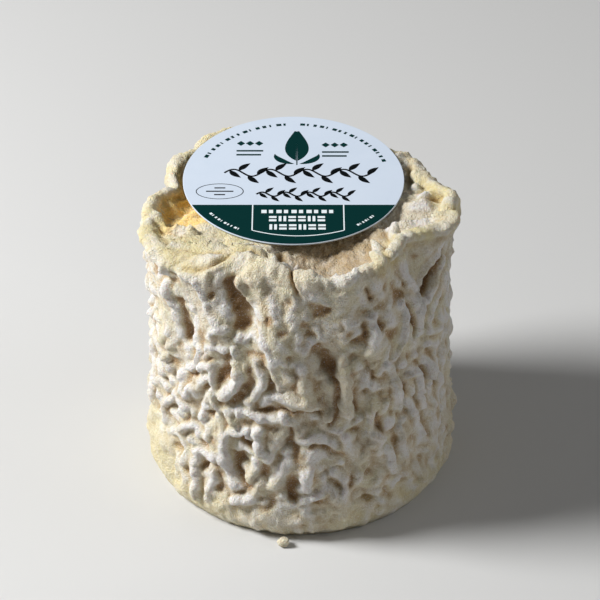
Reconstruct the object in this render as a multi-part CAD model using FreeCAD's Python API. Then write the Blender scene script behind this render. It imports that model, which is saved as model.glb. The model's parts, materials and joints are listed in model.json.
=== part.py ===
"""A chabichou: a small drum-shaped goat's cheese with a wrinkled rind and a round paper label on top.

Frame: millimetres, +Z up, origin on the surface the cheese stands on, at the middle of the part's plan.
-Y is the front, the side that the label is read from. Azimuths are in degrees, 0 at +X and 90 at +Y.

Two nodes, each one solid:
  cheese  the whole cheese: a flat underside, a spread foot, a waisted side with hanging folds, a ruffled
          rim, a gutter inside the rim and a flat seat in the middle that leans a little to the front
  label   the paper disc that lies on the seat and spans the gutter

The rind is one closed ring of B-spline surface. Its poles are worked out station by station, from the
underside's edge, up the side, over the rim, down the gutter and up to the seat's edge.
"""

import FreeCAD
import Part
import math
import os

# ---- driving dimensions -------------------------------------------------------------------------
RIM_HEIGHT = 56.0  # mean height of the rim's crest
WAIST_RADIUS = 28.0  # outside radius halfway up
FOOT_RADIUS = 29.4  # outside radius of the spread foot
FOOT_HEIGHT = 5.0  # height where the foot is widest
FOOT_UNDERCUT = 2.2  # how far the underside's edge lies inside the foot
LIP_BASE = 0.9  # height of the rim's rounding where the lip is thinnest
LIP_RISE = 0.26  # how much higher it gets for each millimetre of the lip's width

LABEL_RADIUS = 20.4
LABEL_THICKNESS = 0.3
LABEL_CENTRE = (-1.2, 7.0)  # the label was laid on behind the middle
LABEL_LEAN = 3.6  # degrees that the label drops towards the front
SEAT_RADIUS = 12.5  # flat middle of the top, under the label
SEAT_RISE = 0.3  # height of the seat's middle above the rim's mean crest
LABEL_GAP = 0.5  # room between the label's edge and the rim or gutter under it
LABEL_CLEARANCE = 0.8  # how far round the label the rim stays below it

GUTTER_DEPTH = 2.4  # drop of the gutter below a straight line from lip to seat

FOLD_WAVES = 11  # hanging folds round the cheese
FOLD_DEPTH = 0.5
WORM_WAVES = 23  # wrinkles round the cheese
WORM_PITCH = 8.6  # height over which the wrinkles repeat
WORM_DEPTH = 0.8

# ---- resolution of the surface ------------------------------------------------------------------
POLES_AROUND = 144
SIDE_ROWS = 32
LIP_ROWS = 6
GUTTER_ROWS = 9
DEGREE = 3

# ---- single folds -------------------------------------------------------------------------------
# The rim's crest: azimuth, outside radius, height above the mean crest, width of the lip.
RIM = [
    (-172, 28.6, -0.2, 2.8),
    (-160, 30.0, -0.6, 3.0),
    (-148, 29.6, -1.0, 4.4),
    (-136, 28.6, -0.6, 7.4),
    (-124, 27.0, 0.6, 8.6),
    (-112, 25.9, 1.0, 7.6),
    (-102, 24.6, 1.2, 5.2),
    (-93, 25.2, 0.3, 3.0),
    (-86, 26.2, 0.8, 3.2),
    (-79, 27.2, 0.0, 2.8),
    (-74, 28.0, -0.5, 2.4),
    (-66, 26.6, 0.4, 2.2),
    (-57, 26.0, 0.7, 2.2),
    (-48, 24.2, 1.3, 2.0),
    (-38, 24.0, 1.3, 2.4),
    (-28, 25.2, 1.0, 2.8),
    (-19, 27.4, 0.4, 3.0),
    (-9, 28.8, 0.2, 3.4),
    (-1, 29.2, 0.8, 3.4),
    (8, 27.9, 0.7, 3.0),
    (18, 26.8, -0.3, 3.2),
    (32, 27.2, -0.4, 3.6),
    (45, 26.6, -0.4, 3.4),
    (58, 27.0, -0.2, 3.2),
    (74, 28.2, 0.1, 3.2),
    (92, 28.3, 0.5, 3.2),
    (110, 28.8, 0.6, 3.2),
    (126, 29.5, 0.7, 3.4),
    (138, 27.8, -0.2, 3.4),
    (149, 28.5, 0.4, 3.2),
    (158, 27.0, -0.8, 2.8),
    (165, 25.8, -1.4, 2.6),
    (172, 27.6, -0.2, 2.8),
]
# Gutter: azimuth, half width in degrees, extra depth. A negative depth is a fold that crosses the gutter.
GUTTER_HOLLOWS = [
    (160, 7, 1.0),
    (170, 4, -1.8),
    (-179, 7, 1.2),
    (-166, 4, -1.4),
    (-146, 15, -2.0),
    (-118, 16, -2.4),
    (-76, 15, 1.3),
    (-38, 6, -1.2),
    (-10, 10, -2.0),
    (22, 22, -2.1),
    (60, 20, -1.8),
    (128, 20, -1.6),
]
# Side: azimuth, height, half width in degrees, half height, outwards, lean in degrees per millimetre.
SIDE_FOLDS = [
    (-136, 42, 3.4, 5.5, -2.0, 0.4),
    (-129, 46, 3.6, 8.0, 0.6, 0.9),
    (-120, 41, 3.0, 2.6, -1.2, 0.0),
    (-118, 34, 2.6, 3.6, -1.0, 0.3),
    (-122, 54, 2.6, 4.0, -1.1, 0.0),
    (-111, 50, 5.0, 6.0, -2.6, -0.7),
    (-103, 48, 3.0, 8.0, 1.2, -0.8),
    (-106, 42, 4.0, 3.0, 0.5, 0.0),
    (-88, 44, 4.0, 5.0, -0.9, 0.4),
    (-80, 41, 3.2, 2.8, -1.2, 0.0),
    (-77, 32, 2.0, 7.0, -1.6, 0.1),
    (-73, 34, 2.6, 7.0, 0.9, 0.0),
    (-63, 42, 3.0, 3.5, 0.7, 0.0),
    (-45, 52, 2.6, 6.0, 0.7, -0.5),
    (-31, 49, 3.0, 3.0, -1.3, 3.6),
    (-16, 52, 8.0, 1.9, -1.7, 0.0),
    (-153, 53, 8.0, 2.0, -1.7, 0.0),
    (-55, 28, 3.0, 7.0, 0.6, 0.5),
    (-103, 20, 3.4, 3.0, 0.8, 0.0),
    (-96, 14, 3.0, 4.0, 0.8, 0.8),
    (-111, 19, 3.0, 2.4, -1.0, 0.0),
    (-113, 14, 3.0, 3.0, -0.9, 0.0),
    (-92, 12, 2.4, 3.0, -1.0, 0.0),
    (-86, 16, 2.8, 4.4, 1.0, 0.3),
    (-120, 9, 3.0, 2.2, -0.9, 0.0),
    (8, 44, 5.0, 9.0, -1.6, 0.2),
    (33, 40, 6.0, 10.0, 1.0, 0.3),
    (61, 45, 5.0, 7.0, -1.8, 0.0),
    (92, 42, 6.0, 9.0, 0.9, -0.4),
    (121, 46, 5.0, 7.0, -1.8, 0.3),
    (158, 41, 5.0, 9.0, 0.8, 0.0),
]


# ---- small helpers ------------------------------------------------------------------------------
def ease(low, high, x):
    """0 below low, 1 above high, smooth between."""
    t = min(1.0, max(0.0, (x - low) / (high - low)))
    return t * t * (3 - 2 * t)


def hump(distance, half_width):
    """1 in the middle of a rounded hump, about a third at its half width."""
    return math.exp(-((distance / half_width) ** 2))


def turn_between(a, b):
    """The angle from b to a, between -180 and 180 degrees."""
    return (a - b + 180.0) % 360.0 - 180.0


# ---- the label's plane --------------------------------------------------------------------------
SEAT_HEIGHT = RIM_HEIGHT + SEAT_RISE
LEAN_SLOPE = math.tan(math.radians(LABEL_LEAN))


def seat_plane(x, y):
    """Height of the label's underside over a point of the plan."""
    return SEAT_HEIGHT + (y - LABEL_CENTRE[1]) * LEAN_SLOPE


# ---- the rim ------------------------------------------------------------------------------------
def rim_at(azimuth):
    """Outside radius, height and lip width of the rim, on a smooth line through the stations of RIM."""
    count = len(RIM)
    k = max(i for i in range(-1, count) if RIM[i][0] - 360 * (i < 0) <= azimuth)
    after = RIM[(k + 1) % count]
    start = RIM[k][0] - 360 * (k < 0)
    end = after[0] + 360 * (k + 1 == count)
    t = (azimuth - start) / (end - start)
    values = []
    for column in (1, 2, 3):
        a, b, c, d = (RIM[(k + j) % count][column] for j in (-1, 0, 1, 2))
        bend = (2 * a - 5 * b + 4 * c - d) * t ** 2 + (3 * b - a - 3 * c + d) * t ** 3
        values.append(0.5 * (2 * b + (c - a) * t + bend))
    radius, above, width = values
    return radius, RIM_HEIGHT + above, width


def lip_height(width):
    return LIP_BASE + LIP_RISE * width


# ---- the side -----------------------------------------------------------------------------------
def drum_radius(height):
    """The smooth outline of the side below the rim: a spread foot and a waist."""
    foot = (FOOT_RADIUS - WAIST_RADIUS) * hump(height - FOOT_HEIGHT, 0.2 * RIM_HEIGHT)
    undercut = FOOT_UNDERCUT * (1 - math.sqrt(1 - (1 - min(1.0, height / FOOT_HEIGHT)) ** 2))
    return WAIST_RADIUS + foot - undercut


def hanging_folds(azimuth, height):
    """Broad folds that hang from the rim and die out halfway down."""
    turn = math.radians(azimuth)
    sway = 1.1 * math.sin(2 * turn + 0.09 * height) + 0.8 * math.sin(3 * turn + 1.0)
    depth = FOLD_DEPTH * ease(0.35 * RIM_HEIGHT, 0.75 * RIM_HEIGHT, height)
    return depth * math.sin(FOLD_WAVES * turn + sway)


def worms(azimuth, height):
    """Winding wrinkles, deepest on the lower two thirds, with rounded tops."""
    turn = math.radians(azimuth)
    climb = 2 * math.pi * height / WORM_PITCH
    bend = 1.3 * math.sin(climb + 1.2 * math.sin(4 * turn)) + 0.9 * math.sin(0.45 * climb + 5 * turn)
    upright = math.sin(WORM_WAVES * turn + bend)
    across = math.sin(climb + 1.6 * math.sin(9 * turn + 0.3 * climb) + 0.8 * math.sin(14 * turn))
    fade = ease(0.02 * RIM_HEIGHT, 0.12 * RIM_HEIGHT, height)
    fade *= 1 - 0.65 * ease(0.6 * RIM_HEIGHT, 0.85 * RIM_HEIGHT, height)
    return WORM_DEPTH * fade * math.tanh(1.1 * upright + 0.7 * across)


def side_folds(azimuth, height):
    """The single folds and hollows of the side."""
    total = 0.0
    for at, middle, half_width, half_height, outwards, lean in SIDE_FOLDS:
        away = turn_between(azimuth, at + lean * (height - middle))
        total += outwards * hump(away, half_width) * hump(height - middle, half_height)
    return total


def side_point(azimuth, share):
    """A point of the side, from the floor at share 0 to the foot of the lip's rounding at share 1."""
    rim_radius, rim_height, width = rim_at(azimuth)
    shoulder = rim_height - lip_height(width)
    height = RIM_HEIGHT * share
    pull = ease(0.77, 1.0, share)
    radius = drum_radius(height) * (1 - pull) + rim_radius * pull
    radius += hanging_folds(azimuth, height) + worms(azimuth, height) + side_folds(azimuth, height)
    return polar(radius, azimuth, shoulder * share)


def polar(radius, azimuth, height):
    turn = math.radians(azimuth)
    return FreeCAD.Vector(radius * math.cos(turn), radius * math.sin(turn), height)


# ---- over the rim and down to the seat ----------------------------------------------------------
def lip_point(azimuth, share):
    """Over the crest, from the outside at share 0 to the inside at share 1."""
    width = rim_at(azimuth)[2]
    start = side_point(azimuth, 1.0)
    radius = math.hypot(start.x, start.y)
    bend = math.pi * share
    inwards = 0.5 * width * (1 - math.cos(bend))
    return polar(radius - inwards, azimuth, start.z + lip_height(width) * math.sin(bend))


def seat_edge(azimuth):
    x = LABEL_CENTRE[0] + SEAT_RADIUS * math.cos(math.radians(azimuth))
    y = LABEL_CENTRE[1] + SEAT_RADIUS * math.sin(math.radians(azimuth))
    return FreeCAD.Vector(x, y, seat_plane(x, y))


def gutter_point(azimuth, share):
    """Down from the lip's inside at share 0 into the gutter and up to the seat's edge at share 1."""
    start = lip_point(azimuth, 1.0)
    end = seat_edge(azimuth)
    extra = sum(deep * hump(turn_between(azimuth, a), w) for a, w, deep in GUTTER_HOLLOWS)
    point = start + (end - start) * share
    point.z -= (GUTTER_DEPTH + extra) * math.sin(math.pi * share ** 0.8)
    return point


def under_label(point):
    """Keeps a point of the rim or gutter clear of the label's underside."""
    away = math.hypot(point.x - LABEL_CENTRE[0], point.y - LABEL_CENTRE[1])
    room = LABEL_GAP * ease(SEAT_RADIUS, LABEL_RADIUS, away)
    if away < LABEL_RADIUS + LABEL_CLEARANCE:
        point.z = min(point.z, seat_plane(point.x, point.y) - room)
    return point


# ---- the ring of surface ------------------------------------------------------------------------
def ring_rows(azimuth):
    """The poles of one station, from the underside's edge to the seat's edge."""
    rows = [side_point(azimuth, i / SIDE_ROWS) for i in range(SIDE_ROWS)]
    rows += [under_label(lip_point(azimuth, i / LIP_ROWS)) for i in range(LIP_ROWS)]
    rows += [under_label(gutter_point(azimuth, i / GUTTER_ROWS)) for i in range(GUTTER_ROWS)]
    rows.append(seat_edge(azimuth))
    return rows


def ring_surface(stations):
    """A cubic B-spline surface, closed round the cheese, with the stations' points as its poles."""
    around = len(stations)
    along = len(stations[0])
    surface = Part.BSplineSurface()
    spans = along - DEGREE
    end_knots = [DEGREE + 1] + [1] * (spans - 1) + [DEGREE + 1]
    surface.buildFromPolesMultsKnots(
        stations,
        [1] * (around + 1),
        end_knots,
        [float(i) for i in range(around + 1)],
        [float(i) for i in range(spans + 1)],
        True,
        False,
        DEGREE,
        DEGREE,
    )
    return surface


def make_cheese():
    stations = [ring_rows(360.0 * i / POLES_AROUND - 180.0) for i in range(POLES_AROUND)]
    centre = plan_centre(stations)
    side = ring_surface(stations).toShape()
    rims = [edge for edge in side.Edges if edge.isClosed() and len(edge.Vertexes) == 1]
    caps = [Part.Face(Part.Wire([edge])) for edge in rims]
    shell = Part.Shell([side] + caps)
    shell.sewShape()
    solid = Part.Solid(shell)
    solid.translate(-centre)
    return solid, centre


def plan_centre(stations):
    """The middle of the part's plan, which becomes the origin."""
    xs = [point.x for rows in stations for point in rows]
    ys = [point.y for rows in stations for point in rows]
    return FreeCAD.Vector((min(xs) + max(xs)) / 2, (min(ys) + max(ys)) / 2, 0)


def make_label(centre):
    """A flat disc whose underside lies in the seat's plane."""
    normal = FreeCAD.Vector(0, -math.sin(math.radians(LABEL_LEAN)), math.cos(math.radians(LABEL_LEAN)))
    middle = FreeCAD.Vector(LABEL_CENTRE[0], LABEL_CENTRE[1], SEAT_HEIGHT)
    return Part.makeCylinder(LABEL_RADIUS, LABEL_THICKNESS, middle - centre, normal)


def main():
    os.makedirs("parts", exist_ok=True)
    cheese, centre = make_cheese()
    label = make_label(centre)
    for name, solid in (("cheese", cheese), ("label", label)):
        if not solid.isValid():
            raise RuntimeError(name + " is not a valid solid")
        solid.exportStep(os.path.join("parts", name + ".step"))
        box = solid.BoundBox
        print(name, "volume cm3", round(solid.Volume / 1000, 2), "box", box)


main()
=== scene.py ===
"""The looks of a chabichou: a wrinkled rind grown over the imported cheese, and a printed paper label.

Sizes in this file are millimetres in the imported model's frame, and become metres where a mesh is made.
Azimuths are in degrees, 0 at +X and 90 at +Y; the label is read from -Y. The rind is worked out on a map:
its width is the way round the cheese, and its height, the climb, goes up the side (0 at the floor and
CREST at the rim) and on over the rim towards the middle of the top.
"""

import json
import math

import bpy
import numpy as np
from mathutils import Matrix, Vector, noise
from mathutils.bvhtree import BVHTree

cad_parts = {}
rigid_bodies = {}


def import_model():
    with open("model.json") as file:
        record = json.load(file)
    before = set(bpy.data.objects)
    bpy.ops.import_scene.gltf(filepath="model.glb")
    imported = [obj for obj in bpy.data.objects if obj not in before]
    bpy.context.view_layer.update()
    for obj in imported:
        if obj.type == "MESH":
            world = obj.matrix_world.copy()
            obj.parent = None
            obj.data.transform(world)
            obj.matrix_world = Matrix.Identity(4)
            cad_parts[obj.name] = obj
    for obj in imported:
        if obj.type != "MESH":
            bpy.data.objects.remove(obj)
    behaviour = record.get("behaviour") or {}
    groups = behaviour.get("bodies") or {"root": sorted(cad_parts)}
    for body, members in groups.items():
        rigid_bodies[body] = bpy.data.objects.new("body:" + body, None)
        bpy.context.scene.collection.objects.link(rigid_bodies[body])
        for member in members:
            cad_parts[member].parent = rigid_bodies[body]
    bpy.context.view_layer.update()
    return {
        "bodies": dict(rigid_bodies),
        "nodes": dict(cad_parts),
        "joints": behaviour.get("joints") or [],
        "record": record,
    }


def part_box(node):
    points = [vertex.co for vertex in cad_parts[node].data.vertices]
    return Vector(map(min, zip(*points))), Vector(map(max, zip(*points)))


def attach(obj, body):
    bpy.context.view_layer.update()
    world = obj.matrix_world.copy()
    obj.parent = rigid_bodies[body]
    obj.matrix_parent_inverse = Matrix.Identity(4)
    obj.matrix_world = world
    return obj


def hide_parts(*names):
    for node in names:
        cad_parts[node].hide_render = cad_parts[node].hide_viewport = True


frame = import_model()

MM = 0.001
SEED = 41

# ---- the map and the rind's grid ----
MAP_RADIUS = 28.7  # the map is 2 pi times this wide
MAP_WIDTH = 1024
MAP_HEIGHT = 512
MAP_LOW = -8.0  # climb at the map's lower edge
CREST = 56.0  # climb of the rim's crest
STEP = 2 * math.pi * MAP_RADIUS / MAP_WIDTH
HALF_WAY_ROUND = math.pi * MAP_RADIUS
MM_PER_DEGREE = math.radians(1) * MAP_RADIUS

WORM_PITCH = 3.3  # of the wrinkles that fill the rind between the single ridges
WORM_HEIGHT = 0.58
NUB_PITCH = 2.2
VALLEY = 0.22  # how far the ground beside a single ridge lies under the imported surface
SETTLE = 0.25  # how far the whole relief of the side is set in, as its ridges stand out
NUB_HEIGHT = 0.2
CREASE_HEIGHTS = (0.44, 0.16)  # of the broad and the fine creases
GROWTH_STEPS = 40
BULGE = 0.16  # how far the ridges lean out sideways, as a share of their slope

AROUND = 520
SIDE_ROWS = 142
TOP_ROWS = 40
FLOOR_SHRINK = (0.985, 0.93, 0.6)  # rings of the underside, as shares of its edge
SEAT_RADIUS = 12.5  # the top's last ring, under the label
ROUNDING = 0.7  # how far in from the outermost point the surface is measured from above
OUTSIDE = 60  # radius from which the side is measured
ABOVE = 80  # height from which the top is measured
BEYOND_RIM = 32.0  # radius at which measuring the top starts
SIDE_SAMPLES = 112
WIDEST_LIP = 6.5
UPPER_RIND = (50.0, 54.0)  # climbs between which the relief's fine parts pass from the map into space
RIM_FOLDS = ((0.3, 3.4), (0.18, 1.7))  # (height, size) of the sharp folds that the rim has in space
RIM_LUMPS = ((0.36, 2.2), (0.28, 0.8))  # (height, size) of its rounded lumps

# ---- the label ----
LABEL_THICKNESS = 0.3
LABEL_ROOM = 0.25  # least room between the rind and the label's underside
EDGE_ROOM = 0.4  # how far outside the label the rind may start to rise again
EDGE_SLOPE = 0.5
PRESSED = (2, 5)  # how far outside the label the pressing down fades out
BAND_TOP = -8.4  # upper edge of the printed band, from the label's middle
PRINT_MARGIN = 0.12
INK_LIFT = 0.012  # of the green and the black above the paper
WHITE_LIFT = 0.03  # of the white above the paper, over the green

label_low, label_high = (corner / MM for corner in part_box("label"))
LABEL_RADIUS = (label_high.x - label_low.x) / 2
LABEL_CENTRE = (label_low + label_high) / 2
PRINT_RADIUS = LABEL_RADIUS - PRINT_MARGIN
LABEL_LEAN = math.asin((label_high.z - label_low.z - LABEL_THICKNESS) / (2 * LABEL_RADIUS))

CRUMB_SIZE = 1.9
CRUMB_PLACE = (-3.1, -30.5)

# ---- light and camera ----
# Lamps: name, place, size, watts.
LIGHTS = (("key", (-530, -15, 488), 240, 7.3), ("fill", (690, -60, 380), 500, 1.15))
WORLD_STRENGTH = 0.09
FLOOR_HALF = 3000
CAMERA_ELEVATION = 34.5
CAMERA_DISTANCE = 449.4
CAMERA_TARGET = (0, 0, 34.1)
SENSOR, LENS = 36, 144
CLIP_METRES = (0.01, 20)

# ---- zones of the rind ----
# A zone is (azimuth from, azimuth to, softness of its ends), and a fade is (climb from, climb to).
ALL_ROUND = (-720, 720, 1)
FRONT = (-150, -32, 12)
RIGHT_SIDE = (-64, -5, 8)  # its single ridges stand out more
LEFT_RIM = ((150, 200, 6), (-200, -164, 6))
PILLOW = (-160, -114, 7)  # the swollen part of the rim, at the front left
PALE_RIM = (-106, -58, 6)
# Smooth skin above the floor: (share, zone, fade).
SMOOTH_FOOT = (
    (1.0, (-185, -140, 14), (9, 19)),
    (1.0, (160, 185, 12), (7, 15)),
    (0.75, (-150, -112, 12), (3, 9)),
)
# Calm skin of the rim and below it, where wrinkles are low: (share, zone, fade).
CALM = (
    (1.0, (-175, -92, 14), (36, 48)),
    (0.85, (-92, -30, 10), (39, 48)),
    (0.6, ALL_ROUND, (46, 54)),
    (1.0, ALL_ROUND, (51, 54.5)),
)

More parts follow.
